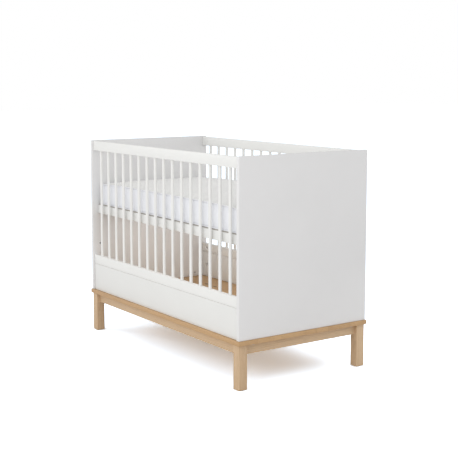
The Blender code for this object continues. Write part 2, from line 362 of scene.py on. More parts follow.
class Nodes:
    """Short calls for laying out one node tree."""

    def __init__(self, tree):
        self.tree = tree

    def add(self, kind, inputs=None, **settings):
        node = self.tree.nodes.new(kind)
        for name, value in settings.items():
            setattr(node, name, value)
        for name, value in (inputs or {}).items():
            self.feed(node.inputs[name], value)
        return node

    def feed(self, socket, value):
        """Links an output to a socket, or sets the socket to a plain value."""
        if isinstance(value, bpy.types.NodeSocket):
            self.tree.links.new(value, socket)
        else:
            socket.default_value = value

    def math(self, operation, *values):
        node = self.add("ShaderNodeMath", operation=operation)
        for socket, value in zip(node.inputs, values):
            self.feed(socket, value)
        return node.outputs[0]

    def vector_math(self, operation, *values):
        node = self.add("ShaderNodeVectorMath", operation=operation)
        for socket, value in zip(node.inputs, values):
            self.feed(socket, value)
        return node.outputs[0]

    def noise(self, vector, scale, detail=2.0, roughness=0.5, distortion=0.0):
        inputs = {"Vector": vector, "Scale": scale, "Detail": detail}
        inputs.update({"Roughness": roughness, "Distortion": distortion})
        return self.add("ShaderNodeTexNoise", inputs).outputs["Fac"]

    def stretch(self, vector, scale):
        """Scales a vector axis by axis."""
        return self.vector_math("MULTIPLY", vector, scale)

    def remap(self, value, from_low, from_high, to_low=0.0, to_high=1.0):
        inputs = {"Value": value, "From Min": from_low, "From Max": from_high}
        inputs.update({"To Min": to_low, "To Max": to_high})
        return self.add("ShaderNodeMapRange", inputs).outputs["Result"]

    def mix(self, factor, first, second, blend="MIX"):
        node = self.add("ShaderNodeMix", data_type="RGBA", blend_type=blend)
        self.feed(node.inputs["Factor"], factor)
        self.feed(node.inputs["A"], first)
        self.feed(node.inputs["B"], second)
        return node.outputs["Result"]

    def bump(self, height, strength, distance):
        inputs = {"Height": height, "Strength": strength, "Distance": distance}
        return self.add("ShaderNodeBump", inputs).outputs["Normal"]


def start_group(name, inputs, outputs):
    """A shader node group with named inputs and outputs; returns its nodes and its two ends."""
    tree = bpy.data.node_groups.new(name, "ShaderNodeTree")
    for socket, kind, default in inputs:
        made = tree.interface.new_socket(socket, in_out="INPUT", socket_type=kind)
        if default is not None:
            made.default_value = default
    for socket, kind in outputs:
        tree.interface.new_socket(socket, in_out="OUTPUT", socket_type=kind)
    nodes = Nodes(tree)
    return nodes, nodes.add("NodeGroupInput"), nodes.add("NodeGroupOutput")


def rgba(red, green, blue):
    """An opaque colour, as the sockets take it."""
    return (red, green, blue, 1.0)


FINISH_OUTPUTS = (
    ("Color", "NodeSocketColor"),
    ("Roughness", "NodeSocketFloat"),
    ("Height", "NodeSocketFloat"),
)

# How much of the paint's red, green and blue are left on its rubbed edges.
WORN_SHARE = (0.9, 0.87, 0.82)


def lacquer_group():
    """Sprayed satin lacquer: broad tone drift, fine orange peel, and thinner paint on edges."""
    nodes, given, result = start_group(
        "sprayed_lacquer",
        [
            ("Vector", "NodeSocketVector", None),
            ("Paint", "NodeSocketColor", rgba(0.8, 0.8, 0.78)),
            ("Worn Tone", "NodeSocketColor", rgba(0.7, 0.66, 0.6)),
            ("Wear", "NodeSocketFloat", 0.3),
            ("Roughness", "NodeSocketFloat", 0.4),
        ],
        FINISH_OUTPUTS,
    )
    place = given.outputs["Vector"]
    drift = nodes.noise(place, 2.2, 3.0)
    cloud = nodes.noise(place, 14.0, 4.0, 0.6)
    peel = nodes.noise(place, 420.0, 1.0)
    nib = nodes.noise(place, 150.0, 2.0)
    edge = nodes.add("ShaderNodeAttribute", attribute_name="worn_edge").outputs["Fac"]
    patchy = nodes.remap(nodes.noise(place, 38.0, 3.0, 0.65), 0.42, 0.66)
    worn = nodes.math("MULTIPLY", nodes.math("MULTIPLY", edge, patchy), given.outputs["Wear"])
    clouded = nodes.math("ADD", drift, nodes.math("MULTIPLY", cloud, 0.4))
    shade = nodes.remap(clouded, 0.4, 1.0, 0.975, 1.015)
    toned = nodes.vector_math("SCALE", given.outputs["Paint"])
    nodes.feed(toned.node.inputs["Scale"], shade)
    colour = nodes.mix(worn, toned, given.outputs["Worn Tone"])
    nodes.feed(result.inputs["Color"], colour)
    rough = nodes.math("ADD", given.outputs["Roughness"], nodes.remap(cloud, 0.3, 0.7, -0.04, 0.05))
    rubbed = nodes.math("SUBTRACT", rough, nodes.math("MULTIPLY", worn, 0.1))
    nodes.feed(result.inputs["Roughness"], rubbed)
    nodes.feed(result.inputs["Height"], nodes.math("ADD", peel, nodes.math("MULTIPLY", nib, 0.7)))
    return nodes.tree


def oak_group():
    """Oak with its grain along X: growth rings round a far pith, fibres and open pores."""
    nodes, given, result = start_group(
        "oiled_oak_grain",
        [
            ("Vector", "NodeSocketVector", None),
            ("Tone", "NodeSocketFloat", 0.0),
            ("Pale", "NodeSocketColor", rgba(0.68, 0.50, 0.32)),
            ("Dark", "NodeSocketColor", rgba(0.50, 0.33, 0.19)),
            ("Ring Spacing", "NodeSocketFloat", 0.005),
        ],
        FINISH_OUTPUTS,
    )
    place = given.outputs["Vector"]
    sway = nodes.noise(nodes.stretch(place, (1.0, 6.0, 6.0)), 1.6, 3.0, 0.55)
    across = nodes.add("ShaderNodeSeparateXYZ", {"Vector": place}).outputs
    from_pith = [nodes.math("ADD", across["Y"], 0.11), nodes.math("ADD", across["Z"], 0.16)]
    squares = [nodes.math("POWER", distance, 2.0) for distance in from_pith]
    radius = nodes.math("SQRT", nodes.math("ADD", *squares))
    swayed = nodes.math("ADD", radius, nodes.math("MULTIPLY", sway, 0.05))
    ring = nodes.math("FRACT", nodes.math("DIVIDE", swayed, given.outputs["Ring Spacing"]))
    late_wood = nodes.math("MULTIPLY", nodes.remap(ring, 0.35, 0.95), nodes.remap(ring, 1.0, 0.94))
    fibre = nodes.noise(nodes.stretch(place, (9.0, 420.0, 420.0)), 1.0, 4.0, 0.6)
    pore_noise = nodes.noise(nodes.stretch(place, (55.0, 1500.0, 1500.0)), 1.0, 1.0)
    early_wood = nodes.remap(ring, 0.6, 0.1, 0.25, 1.0)
    pores = nodes.math("MULTIPLY", nodes.remap(pore_noise, 0.60, 0.68), early_wood)
    broad = nodes.noise(nodes.stretch(place, (2.0, 22.0, 22.0)), 1.0, 2.0)
    fibre_tone = nodes.remap(fibre, 0.3, 0.75, -0.05, 0.42)
    depth = nodes.math("ADD", nodes.math("MULTIPLY", late_wood, 0.42), fibre_tone)
    depth = nodes.math("ADD", depth, nodes.remap(broad, 0.3, 0.7, -0.14, 0.16))
    depth = nodes.math("ADD", depth, given.outputs["Tone"])
    colour = nodes.mix(nodes.remap(depth, 0.0, 1.0), given.outputs["Pale"], given.outputs["Dark"])
    colour = nodes.mix(nodes.math("MULTIPLY", pores, 0.5), colour, rgba(0.20, 0.11, 0.05))
    nodes.feed(result.inputs["Color"], colour)
    nodes.feed(result.inputs["Roughness"], nodes.remap(depth, 0.0, 1.0, 0.52, 0.42))
    relief = nodes.math("SUBTRACT", nodes.math("MULTIPLY", fibre, 0.5), pores)
    nodes.feed(result.inputs["Height"], relief)
    return nodes.tree


def stave_group():
    """Cuts a glued-up board into staves along X: each stave's grain is moved and toned apart."""
    nodes, given, result = start_group(
        "glued_staves",
        [("Vector", "NodeSocketVector", None), ("Stave Width", "NodeSocketFloat", 0.06)],
        [("Vector", "NodeSocketVector"), ("Tone", "NodeSocketFloat"), ("Joint", "NodeSocketFloat")],
    )
    parts = nodes.add("ShaderNodeSeparateXYZ", {"Vector": given.outputs["Vector"]}).outputs
    count = nodes.math("DIVIDE", parts["Y"], given.outputs["Stave Width"])
    number = nodes.math("FLOOR", count)
    chance = nodes.add("ShaderNodeTexWhiteNoise", {"W": number}, noise_dimensions="1D").outputs
    jump = nodes.vector_math("MULTIPLY", chance["Color"], (3.0, 0.3, 0.3))
    nodes.feed(result.inputs["Vector"], nodes.vector_math("ADD", given.outputs["Vector"], jump))
    nodes.feed(result.inputs["Tone"], nodes.remap(chance["Value"], 0.0, 1.0, -0.12, 0.14))
    within = nodes.math("FRACT", count)
    nearest = nodes.math("MINIMUM", within, nodes.math("SUBTRACT", 1.0, within))
    nodes.feed(result.inputs["Joint"], nodes.remap(nearest, 0.0, 0.012, 1.0, 0.0))
    return nodes.tree


def weave_group():
    """Fine knitted cover cloth, laid along whichever two axes the surface faces."""
    nodes, given, result = start_group(
        "knitted_cover",
        [("Vector", "NodeSocketVector", None), ("Stitches Per Metre", "NodeSocketFloat", 420.0)],
        [("Mask", "NodeSocketFloat"), ("Height", "NodeSocketFloat")],
    )
    normal = nodes.add("ShaderNodeNewGeometry").outputs["Normal"]
    either_way = nodes.vector_math("ABSOLUTE", normal)
    facing = nodes.add("ShaderNodeSeparateXYZ", {"Vector": either_way}).outputs
    parts = nodes.add("ShaderNodeSeparateXYZ", {"Vector": given.outputs["Vector"]}).outputs
    upward = nodes.math("GREATER_THAN", facing["Z"], 0.6)
    endward = nodes.math("GREATER_THAN", facing["X"], facing["Y"])
    across = nodes.add("ShaderNodeMix", {"A": parts["X"], "B": parts["Y"]}, data_type="FLOAT")
    on_end = nodes.math("MULTIPLY", endward, nodes.math("SUBTRACT", 1.0, upward))
    nodes.feed(across.inputs["Factor"], on_end)
    along = nodes.add("ShaderNodeMix", {"A": parts["Z"], "B": parts["Y"]}, data_type="FLOAT")
    nodes.feed(along.inputs["Factor"], upward)
    turns = nodes.math("MULTIPLY", given.outputs["Stitches Per Metre"], 2 * math.pi)
    wale = nodes.math("SINE", nodes.math("MULTIPLY", across.outputs["Result"], turns))
    course_turns = nodes.math("MULTIPLY", turns, 0.75)
    course = nodes.math("SINE", nodes.math("MULTIPLY", along.outputs["Result"], course_turns))
    rows = nodes.math("ADD", nodes.math("ABSOLUTE", course), 0.4)
    loops = nodes.math("MULTIPLY", nodes.math("ABSOLUTE", wale), rows)
    fuzz = nodes.noise(given.outputs["Vector"], 900.0, 2.0)
    nodes.feed(result.inputs["Mask"], nodes.remap(loops, 0.0, 1.1))
    nodes.feed(result.inputs["Height"], nodes.math("ADD", loops, nodes.math("MULTIPLY", fuzz, 0.5)))
    return nodes.tree


def start_material(name):
    """A material with a Principled shader, and Object coordinates to work from."""
    material = bpy.data.materials.new(name)
    material.use_nodes = True
    nodes = Nodes(material.node_tree)
    shader = material.node_tree.nodes["Principled BSDF"]
    place = nodes.add("ShaderNodeTexCoord").outputs["Object"]
    return material, nodes, shader, place


def lacquer_material(name, group, paint, roughness=0.36, wear=0.35):
    """One white of the sprayed lacquer, a little yellower where its edges are rubbed."""
    material, nodes, shader, place = start_material(name)
    lacquer = nodes.add("ShaderNodeGroup", node_tree=group)
    nodes.feed(lacquer.inputs["Vector"], place)
    lacquer.inputs["Paint"].default_value = rgba(*paint)
    worn = [part * share for part, share in zip(paint, WORN_SHARE)]
    lacquer.inputs["Worn Tone"].default_value = rgba(*worn)
    lacquer.inputs["Wear"].default_value = wear
    lacquer.inputs["Roughness"].default_value = roughness
    nodes.feed(shader.inputs["Base Color"], lacquer.outputs["Color"])
    nodes.feed(shader.inputs["Roughness"], lacquer.outputs["Roughness"])
    nodes.feed(shader.inputs["Normal"], nodes.bump(lacquer.outputs["Height"], 0.12, 0.0002))
    shader.inputs["Specular IOR Level"].default_value = 0.45
    return material


def oak_material(name, grain, turn=(0.0, 0.0, 0.0), shift=(0.0, 0.0, 0.0), tone=0.0):
    """Oiled oak. turn brings the piece's length onto the grain's X, and shift picks another log."""
    material, nodes, shader, place = start_material(name)
    mapping = nodes.add("ShaderNodeMapping", {"Vector": place, "Rotation": turn, "Location": shift})
    oak = nodes.add("ShaderNodeGroup", node_tree=grain)
    nodes.feed(oak.inputs["Vector"], mapping.outputs["Vector"])
    oak.inputs["Tone"].default_value = tone
    edge = nodes.add("ShaderNodeAttribute", attribute_name="worn_edge").outputs["Fac"]
    rubbed = nodes.math("MULTIPLY", edge, 0.22)
    colour = nodes.mix(rubbed, oak.outputs["Color"], rgba(0.72, 0.54, 0.33))
    nodes.feed(shader.inputs["Base Color"], colour)
    nodes.feed(shader.inputs["Roughness"], oak.outputs["Roughness"])
    nodes.feed(shader.inputs["Normal"], nodes.bump(oak.outputs["Height"], 0.25, 0.0003))
    shader.inputs["Specular IOR Level"].default_value = 0.4
    return material


def oak_board_material(name, grain, staves, hole_shade_spots):
    """The plinth board: oak staves glued edge to edge, with a few near-black spots painted for the
    shade in its holes.
    """
    material, nodes, shader, place = start_material(name)
    split = nodes.add("ShaderNodeGroup", node_tree=staves)
    nodes.feed(split.inputs["Vector"], place)
    oak = nodes.add("ShaderNodeGroup", node_tree=grain)
    oak.inputs["Pale"].default_value = rgba(0.60, 0.39, 0.20)
    oak.inputs["Dark"].default_value = rgba(0.40, 0.23, 0.11)
    nodes.feed(oak.inputs["Vector"], split.outputs["Vector"])
    nodes.feed(oak.inputs["Tone"], split.outputs["Tone"])
    glue = nodes.math("MULTIPLY", split.outputs["Joint"], 0.45)
    colour = nodes.mix(glue, oak.outputs["Color"], rgba(0.22, 0.12, 0.06))
    # Each spot is painted shade: a near-black disc where a hole in the board shows dark.
    for spot_place, spot_radius in hole_shade_spots:
        offset = nodes.vector_math("SUBTRACT", place, (*spot_place, 0.0))
        flat = nodes.vector_math("MULTIPLY", offset, (0.6, 1.0, 0.0))
        away = nodes.add("ShaderNodeVectorMath", {0: flat}, operation="LENGTH").outputs["Value"]
        rim = nodes.remap(away, spot_radius * 0.8, spot_radius * 1.8, 0.97, 0.0)
        colour = nodes.mix(rim, colour, rgba(0.03, 0.015, 0.008))
    nodes.feed(shader.inputs["Base Color"], colour)
    nodes.feed(shader.inputs["Roughness"], oak.outputs["Roughness"])
    relief = nodes.math("SUBTRACT", oak.outputs["Height"], split.outputs["Joint"])
    nodes.feed(shader.inputs["Normal"], nodes.bump(relief, 0.25, 0.0003))
    shader.inputs["Specular IOR Level"].default_value = 0.4
    return material


def zinc_material():
    """Zinc-plated steel with a faint spangle and rubbed streaks."""
    material, nodes, shader, place = start_material("zinc_plated_steel")
    spangle = nodes.add("ShaderNodeTexVoronoi", {"Vector": place, "Scale": 600.0}).outputs["Color"]
    streak = nodes.noise(nodes.stretch(place, (90.0, 900.0, 900.0)), 1.0, 3.0)
    colour = nodes.mix(0.12, rgba(0.55, 0.55, 0.56), spangle, "OVERLAY")
    nodes.feed(shader.inputs["Base Color"], colour)
    nodes.feed(shader.inputs["Roughness"], nodes.remap(streak, 0.3, 0.7, 0.28, 0.46))
    nodes.feed(shader.inputs["Normal"], nodes.bump(streak, 0.15, 0.0001))
    shader.inputs["Metallic"].default_value = 1.0
    return material


def moulded_material(name, colour, roughness, grain=500.0):
    """Moulded plastic with a fine spark-eroded texture."""
    material, nodes, shader, place = start_material(name)
    texture = nodes.noise(place, grain, 3.0, 0.6)
    drift = nodes.noise(place, 20.0, 2.0)
    darker = rgba(*(part * 0.8 for part in colour))
    tone = nodes.mix(nodes.remap(drift, 0.3, 0.7, 0.0, 0.25), rgba(*colour), darker)
    rough = nodes.remap(texture, 0.3, 0.7, roughness - 0.06, roughness + 0.08)
    nodes.feed(shader.inputs["Base Color"], tone)
    nodes.feed(shader.inputs["Roughness"], rough)
    nodes.feed(shader.inputs["Normal"], nodes.bump(texture, 0.2, 0.0001))
    return material


def fibreboard_material():
    """Pale fibreboard: pressed fibres in random directions, with darker flecks."""
    material, nodes, shader, place = start_material("pale_fibreboard")
    fibres = nodes.noise(place, 260.0, 5.0, 0.7, 1.5)
    clouds = nodes.noise(place, 9.0, 3.0)
    flecks = nodes.remap(nodes.noise(place, 900.0, 2.0), 0.62, 0.7)
    felted = nodes.remap(fibres, 0.35, 0.65)
    colour = nodes.mix(felted, rgba(0.36, 0.33, 0.30), rgba(0.49, 0.465, 0.43))
    colour = nodes.mix(nodes.remap(clouds, 0.3, 0.7, 0.0, 0.3), colour, rgba(0.60, 0.55, 0.48))
    colour = nodes.mix(nodes.math("MULTIPLY", flecks, 0.4), colour, rgba(0.20, 0.13, 0.08))
    nodes.feed(shader.inputs["Base Color"], colour)
    nodes.feed(shader.inputs["Roughness"], nodes.remap(fibres, 0.3, 0.7, 0.6, 0.8))
    nodes.feed(shader.inputs["Normal"], nodes.bump(fibres, 0.3, 0.0002))
    return material


def cover_material(name, weave, colour, stitches):
    """Soft knitted mattress cover with a light sheen."""
    material, nodes, shader, place = start_material(name)
    knit = nodes.add("ShaderNodeGroup", node_tree=weave)
    nodes.feed(knit.inputs["Vector"], place)
    knit.inputs["Stitches Per Metre"].default_value = stitches
    drift = nodes.noise(place, 6.0, 3.0)
    shadow = rgba(colour[0] * 0.92, colour[1] * 0.92, colour[2] * 0.93)
    tone = nodes.mix(knit.outputs["Mask"], shadow, rgba(*colour))
    tone = nodes.mix(nodes.remap(drift, 0.35, 0.65, 0.0, 0.12), tone, shadow)
    nodes.feed(shader.inputs["Base Color"], tone)
    nodes.feed(shader.inputs["Roughness"], nodes.remap(knit.outputs["Mask"], 0.0, 1.0, 0.95, 0.85))
    nodes.feed(shader.inputs["Normal"], nodes.bump(knit.outputs["Height"], 0.3, 0.0004))
    shader.inputs["Sheen Weight"].default_value = 0.25
    shader.inputs["Sheen Roughness"].default_value = 0.4
    shader.inputs["Specular IOR Level"].default_value = 0.25
    return material


# ---------------------------------------------------------------- finishes

LACQUER = lacquer_group()
GRAIN = oak_group()
STAVES = stave_group()
KNIT = weave_group()

# Each spot's X and Y on the plinth board, and its radius: near-black paint standing for the shade
# in a hole.
HOLE_SHADE_SPOTS = [
    ((-0.396, 0.192), 0.006),
    ((-0.317, 0.188), 0.005),
    ((0.21, -0.12), 0.007),
    ((0.42, 0.05), 0.004),
]

WHITE = lacquer_material("white_satin_lacquer", LACQUER, (0.83, 0.83, 0.81))
PANEL_WHITE = lacquer_material("white_end_panel_lacquer", LACQUER, (0.785, 0.78, 0.78))
FASCIA_WHITE = lacquer_material("white_fascia_lacquer", LACQUER, (0.785, 0.785, 0.765))
OAK_X = oak_material("oak_along_length", GRAIN)
OAK_Y = oak_material("oak_across_width", GRAIN, (0.0, 0.0, -QUARTER_TURN), (0.7, 0.2, 0.0))
OAK_Z = oak_material("oak_upright", GRAIN, (0.0, QUARTER_TURN, 0.0), (0.3, 0.5, 0.0), 0.04)
OAK_BOARD = oak_board_material("oak_staves", GRAIN, STAVES, HOLE_SHADE_SPOTS)
ZINC = zinc_material()
CAP_PLASTIC = moulded_material("white_cap_plastic", (0.82, 0.82, 0.80), 0.4)
SLEEVE_PLASTIC = moulded_material("grey_sleeve_plastic", (0.30, 0.30, 0.30), 0.5)
GLIDE_PLASTIC = moulded_material("black_glide_plastic", (0.03, 0.028, 0.027), 0.7, 900.0)
FIBREBOARD = fibreboard_material()
BORDER_CLOTH = cover_material("knitted_border_cloth", KNIT, (0.92, 0.93, 0.96), 420.0)
TOP_PANEL_CLOTH = cover_material("quilted_top_cloth", KNIT, (0.93, 0.925, 0.905), 420.0)
PIPING = cover_material("woven_tape_edge", KNIT, (0.90, 0.905, 0.93), 900.0)


# ---------------------------------------------------------------- ends and sides


def inner_face_x(end):
    """The X of an end panel's inner face."""
    low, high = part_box(f"end_panel_{end}")
    return low.x if end == "right" else high.x


def outward(end):
    """1 or -1: the way along X that an end's outer face looks."""
    return 1 if end == "right" else -1


def level_hole_places(end):
    """Where the studs go into an end panel: two columns of three holes."""
    places = []
    for side in SIDES:
        low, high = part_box(f"base_side_rail_{side}")
        centre = (low + high) / 2
        for level in range(LEVEL_COUNT):
            places.append(Vector((inner_face_x(end), centre.y, centre.z - level * LEVEL_SPACING)))
    return places


def nut_places(end):
    """Where the barrel nuts lie in an end panel's foot."""
    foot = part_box("plinth_board")[1].z + NUT_HEIGHT
    return [Vector((inner_face_x(end), y, foot)) for y in (-NUT_Y, NUT_Y)]


def blind_hole(place, direction, radius, depth):
    """A cutter for a round blind hole, starting outside the surface."""
    return add_rod("hole_cutter", place - direction * depth, place + direction * depth, radius)


def make_end_panels():
    """Both solid ends, bored on the inside for the base studs and the barrel nuts."""
    into = Vector((outward("left"), 0, 0))
    holes = [(place, LEVEL_HOLE_RADIUS) for place in level_hole_places("left")]
    holes += [(place, NUT_RADIUS) for place in nut_places("left")]
    cutters = [blind_hole(place, into, radius, HOLE_DEPTH) for place, radius in holes]
    pair = ("end_panel_left", "end_panel_right")
    paired_boards("painted", pair, FRAME_BODY, "white_paint", PANEL_WHITE, PANEL_ROUNDING, cutters)


def model_sleeve():
    """A collared sleeve for a level hole, at the middle of the crib, opening towards -X."""
    into = Vector((1, 0, 0))
    radius = LEVEL_HOLE_RADIUS - SLEEVE_SLACK
    piece = add_rod("sleeve", -into * SLEEVE_COLLAR, into * SLEEVE_LENGTH, radius)
    make_active(piece)
    select_faces(piece, lambda face: face.normal.x < -0.9)
    bpy.ops.object.mode_set(mode="EDIT")
    bpy.ops.mesh.inset(thickness=SLEEVE_WALL)
    bpy.ops.mesh.extrude_region_move(TRANSFORM_OT_translate={"value": into * SLEEVE_BORE})
    bpy.ops.object.mode_set(mode="OBJECT")
    smooth(piece)
    return piece


def model_barrel_nut():
    """A barrel nut's slotted end, a little below the surface it goes into towards +X."""
    into = Vector((1, 0, 0))
    start = into * NUT_RECESS
    piece = add_rod("barrel_nut", start, into * NUT_END, NUT_RADIUS - NUT_SLACK)
    reach = Vector(NUT_SLOT_REACH)
    cut_away(piece, [add_block("slot_cutter", start - reach, start + reach)])
    smooth(piece)
    return piece


def make_end_fixings():
    """Sleeves in the level holes and barrel nuts in the feet of both end panels."""
    sleeves = []
    nuts = []
    for end, turn in zip(ENDS, (HALF_TURN, 0.0)):
        for number, place in enumerate(level_hole_places(end), start=1):
            sleeves.append((f"level_sleeve_{end}_{number}", FRAME_BODY, place, turn))
        for number, place in enumerate(nut_places(end), start=1):
            nuts.append((f"barrel_nut_{end}_{number}", FRAME_BODY, place, turn))
    set_out(model_sleeve(), sleeves, "steel_fixings", SLEEVE_PLASTIC)
    set_out(model_barrel_nut(), nuts, "steel_fixings", ZINC)


def cam_places(node, side):
    """The two cam centres on the inner face of a rail, the left one first."""
    low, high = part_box(node)
    inner_y = high.y if side == "front" else low.y
    height = (low.z + high.z) / 2
    return [Vector((x, inner_y, height)) for x in (low.x + CAM_SETBACK, high.x - CAM_SETBACK)]


def cam_cutters(node):
    """Cutters for the cam housings of a front rail."""
    into = Vector((0, -1, 0))
    return [blind_hole(place, into, CAM_RADIUS, CAM_HOUSING) for place in cam_places(node, "front")]


def model_cam():
    """A cam disc in a housing that goes in towards -Y, with a cross slot for the screwdriver."""
    into = Vector((0, -1, 0))
    start = into * CAM_RECESS
    piece = add_rod("cam", start, into * (CAM_HOUSING - LET_IN), CAM_RADIUS - CAM_SLACK)
    cutters = []
    long, thin = CAM_SLOT_HALF_LENGTH, CAM_SLOT_HALF_WIDTH
    for wide, tall in ((long, thin), (thin, long)):
        reach = Vector((wide, CAM_SLOT_DEPTH, tall))
        cutters.append(add_block("slot_cutter", start - reach, start + reach))
    cut_away(piece, cutters)
    smooth(piece)
    return piece


def model_cap():
    """A thin cap with a softened rim, over a cam housing that goes in towards -Y."""
    piece = add_rod("cap", (0, CAP_THICKNESS, 0), (0, -CAP_PLUG, 0), CAP_RADIUS)
    make_active(piece)
    select_faces(piece, lambda face: face.normal.y > 0.9)
    bpy.ops.object.mode_set(mode="EDIT")
    bpy.ops.mesh.bevel(offset=CAP_RIM, segments=3)
    bpy.ops.object.mode_set(mode="OBJECT")
    smooth(piece)
    return piece


def make_side_rails():
    """Top rail, bottom rail and fascia of both sides, bored for their cams."""
    for part, material in (("top_rail", WHITE), ("bottom_rail", WHITE), ("fascia", FASCIA_WHITE)):
        pair = (f"front_{part}", f"back_{part}")
        cutters = cam_cutters(pair[0])
        paired_boards("painted", pair, FRAME_BODY, "white_paint", material, RAIL_ROUNDING, cutters)


def make_cams():
    """A cam in every housing, and a cap over those of the top rails."""
    cams = []
    caps = []
    for side, turn in zip(SIDES, (0.0, HALF_TURN)):
        rails = [(f"{side}_{part}", FRAME_BODY) for part in ("top_rail", "bottom_rail", "fascia")]
        rails.append((f"base_side_rail_{side}", BASE_BODY))
        for node, body in rails:
            for end, place in zip(ENDS, cam_places(node, side)):
                cams.append((f"cam_{node}_{end}", body, place, turn))
                if "top" in node:
                    caps.append((f"cap_{node}_{end}", body, place, turn))
    set_out(model_cam(), cams, "steel_fixings", ZINC)
    set_out(model_cap(), caps, "white_paint", CAP_PLASTIC)


def model_slat(node):
    """A slat rounded along its length, worn on its long edges but not at its hidden ends."""
    low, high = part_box(node)
    piece = add_block("slat", low, high)
    round_edges(piece, SLAT_ROUNDING, lambda start, end: abs(start.z - end.z) > 0.1)
    mark_worn_edges(piece, (low.x, low.y, -1), (high.x, high.y, -1))
    smooth(piece)
    return piece


def make_slats():
    """Every slat of both sides, copied from the first."""
    numbers = range(1, SLATS_PER_SIDE + 1)
    nodes = [f"{side}_slat_{number:02d}" for side in SIDES for number in numbers]
    copy_to_nodes(model_slat(nodes[0]), nodes, "painted", "white_paint", WHITE)


# ---------------------------------------------------------------- plinth


def make_plinth():
    """The board under the crib, the four aprons under it, and the legs."""
    board("oak", "plinth_board", FRAME_BODY, "plinth_wood", OAK_BOARD, OAK_ROUNDING)
    for pair, material in ((SIDES, OAK_X), (ENDS, OAK_Y)):
        nodes = [f"apron_{part}" for part in pair]
        paired_boards("oak", nodes, FRAME_BODY, "plinth_wood", material, APRON_ROUNDING)
    make_legs()


def model_leg(node):
    """A square leg, standing just above the floor on its glide."""
    low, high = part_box(node)
    foot = Vector((low.x, low.y, low.z + GLIDE_THICKNESS))
    piece = add_block("leg", foot, high)
    round_edges(piece, OAK_ROUNDING)
    mark_worn_edges(piece, foot, high)
    smooth(piece)
    return piece


def model_glide():
    """A low round glide with a rounded rim, let a little into the foot above it."""
    piece = add_rod("glide", (0, 0, 0), (0, 0, GLIDE_THICKNESS + LET_IN), GLIDE_RADIUS, 40)
    round_edges(piece, GLIDE_RIM, lambda start, end: max(start.z, end.z) < NEAR)
    smooth(piece)
    return piece


def make_legs():
    """The four legs and their glides."""
    nodes = [f"leg_{side}_{end}" for side in SIDES for end in ENDS]
    copy_to_nodes(model_leg(nodes[0]), nodes, "oak", "plinth_wood", OAK_Z)
    glides = []
    for node in nodes:
        low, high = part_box(node)
        middle = (low + high) / 2
        glides.append((node.replace("leg", "glide"), FRAME_BODY, (middle.x, middle.y, low.z), 0.0))
    set_out(model_glide(), glides, "steel_fixings", GLIDE_PLASTIC)


def model_plinth_bolt():
    """A bolt head with a six-sided socket, hanging from a surface at the floor's height."""
    lowest = -BOLT_HEAD_HEIGHT
    piece = add_rod("plinth_bolt", (0, 0, lowest), (0, 0, BOLT_LET_IN), BOLT_HEAD_RADIUS)
    round_edges(piece, BOLT_RIM, lambda start, end: max(start.z, end.z) < lowest + NEAR, 2)
    socket_ends = (0, 0, lowest - CUTTER_STAND_OUT), (0, 0, lowest + SOCKET_DEPTH)
    cut_away(piece, [add_rod("socket_cutter", *socket_ends, SOCKET_RADIUS, 6)])
    smooth(piece)
    return piece


def make_plinth_bolts():
    """Bolts up through the plinth board, which hold the ends down."""
    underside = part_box("plinth_board")[0].z
    bolts = []
    for end in ENDS:
        low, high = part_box(f"end_panel_{end}")
        for number, y in enumerate((-NUT_Y, NUT_Y), start=1):
            place = ((low.x + high.x) / 2, y, underside)
            bolts.append((f"plinth_bolt_{end}_{number}", FRAME_BODY, place, 0.0))
    set_out(model_plinth_bolt(), bolts, "steel_fixings", ZINC)


# ---------------------------------------------------------------- mattress base


def make_base():
    """The adjustable base: two long rails, two end rails, a centre rail, and the slotted board."""
    pair = ("base_side_rail_front", "base_side_rail_back")
    cutters = cam_cutters(pair[0])
    paired_boards("painted", pair, BASE_BODY, "white_paint", WHITE, RAIL_ROUNDING, cutters)
    pair = ("base_end_rail_left", "base_end_rail_right")
    paired_boards("painted", pair, BASE_BODY, "white_paint", WHITE, RAIL_ROUNDING)
    board("painted", "base_centre_rail", BASE_BODY, "white_paint", WHITE, RAIL_ROUNDING)
    set_cad_material("base_board", FIBREBOARD)
    for side in SIDES:
        for end in ENDS:
            set_cad_material(f"base_stud_{side}_{end}", ZINC)


def set_cad_material(node, material):
    """Gives a CAD piece that keeps its shape its finish."""
    mesh = frame["nodes"][node].data
    mesh.materials.clear()
    mesh.materials.append(material)


# ---------------------------------------------------------------- mattress


def add_padding_block(low, high):
    """The mattress before it is filled: a box a little small all round, with soft corners."""
    inset = Vector((PAD_INSET, PAD_INSET, 0))
    top = high.z - PAD_INSET
    piece = add_block("quilted_mattress", low + inset, Vector((high.x, high.y, top)) - inset)
    round_edges(piece, PAD_CORNER, lambda start, end: abs(start.z - end.z) > 0.05, 6)
    brim = top - PAD_RIM_REACH
    round_edges(piece, PAD_SHOULDER, lambda start, end: min(start.z, end.z) > brim, 3)
    sole = low.z + PAD_RIM_REACH
    round_edges(piece, PAD_FOOT, lambda start, end: max(start.z, end.z) < sole, 2)
    make_active(piece)
    net = piece.modifiers.new("net", "REMESH")
    net.mode = "VOXEL"
    net.voxel_size = PAD_NET
    bpy.ops.object.modifier_apply(modifier=net.name)
    return piece


def hold_seams(piece, low, high):
    """Holds the net along the two piped edges, so the faces swell between them."""
    held = piece.vertex_groups.new(name="held_seams")
    bottom = low.z + PIPING_RADIUS
    top = high.z - PAD_INSET - PIPING_RADIUS
    for vert in piece.data.vertices:
        at_seam = min(abs(vert.co.z - top), abs(vert.co.z - bottom)) < PAD_NET * 0.6
        outer = max(abs(vert.co.x) - high.x, abs(vert.co.y) - high.y) > -PAD_CORNER
        if at_seam and outer:
            held.add([vert.index], 1.0, "REPLACE")
    return held


